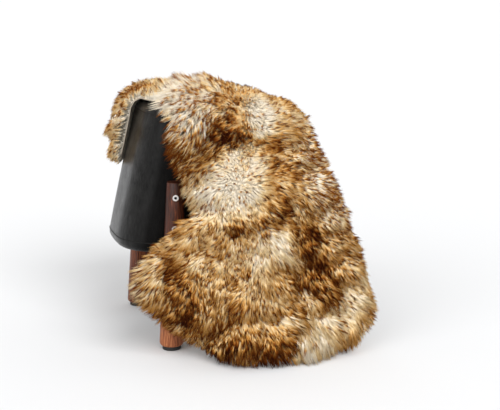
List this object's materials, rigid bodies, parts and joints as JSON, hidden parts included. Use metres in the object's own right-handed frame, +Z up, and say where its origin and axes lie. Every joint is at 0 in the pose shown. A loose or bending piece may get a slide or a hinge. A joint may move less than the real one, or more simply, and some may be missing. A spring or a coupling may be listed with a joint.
{
  "type": "sheepskin on a tub chair",
  "caption": "Whole long-wool sheepskin thrown over the back corner and one side of a small leather tub chair with round wooden legs.",
  "frame": {"origin": "on the floor, under the middle of the whole thing's outline", "axes": "+X the way the chair faces, +Y from the side the skin falls down to the other side, +Z up"},
  "size_m": [0.7465, 0.8396, 0.8029],
  "materials": {
    "wool": "long clumped wool, cream at the roots, golden tan with dark brown tips",
    "leather": "soft charcoal black leather with a low sheen",
    "walnut": "reddish brown wood, satin lacquer",
    "pad": "matt black",
    "steel": "satin",
    "dark_steel": "black oxide"
  },
  "bodies": {
    "root": {"sheepskin": "wool", "wool_flap_tip": "wool", "wool_flap_near": "wool", "wool_rear_rim": "wool", "wool_near_left": "wool", "wool_lobe_top": "wool", "wool_lobe_foot": "wool", "wool_hem_left": "wool", "wool_hem_right": "wool", "wool_right_foot": "wool", "wool_right_side": "wool", "wool_inner_edge": "wool", "wool_flap_far": "wool", "shell": "leather", "seat_base": "leather", "seat_pad": "leather", "leg_rear_near": "walnut", "leg_rear_far": "walnut", "leg_front_near": "walnut", "leg_front_far": "walnut", "glide_rear_near": "pad", "glide_rear_far": "pad", "glide_front_near": "pad", "glide_front_far": "pad", "washer_rear_near_upper": "steel", "washer_rear_near_lower": "steel", "washer_rear_far_upper": "steel", "washer_rear_far_lower": "steel", "washer_front_near_upper": "steel", "washer_front_near_lower": "steel", "washer_front_far_upper": "steel", "washer_front_far_lower": "steel", "bolt_rear_near_upper": "dark_steel", "bolt_rear_near_lower": "dark_steel", "bolt_rear_far_upper": "dark_steel", "bolt_rear_far_lower": "dark_steel", "bolt_front_near_upper": "dark_steel", "bolt_front_near_lower": "dark_steel", "bolt_front_far_upper": "dark_steel", "bolt_front_far_lower": "dark_steel"}
  },
  "joints": []
}
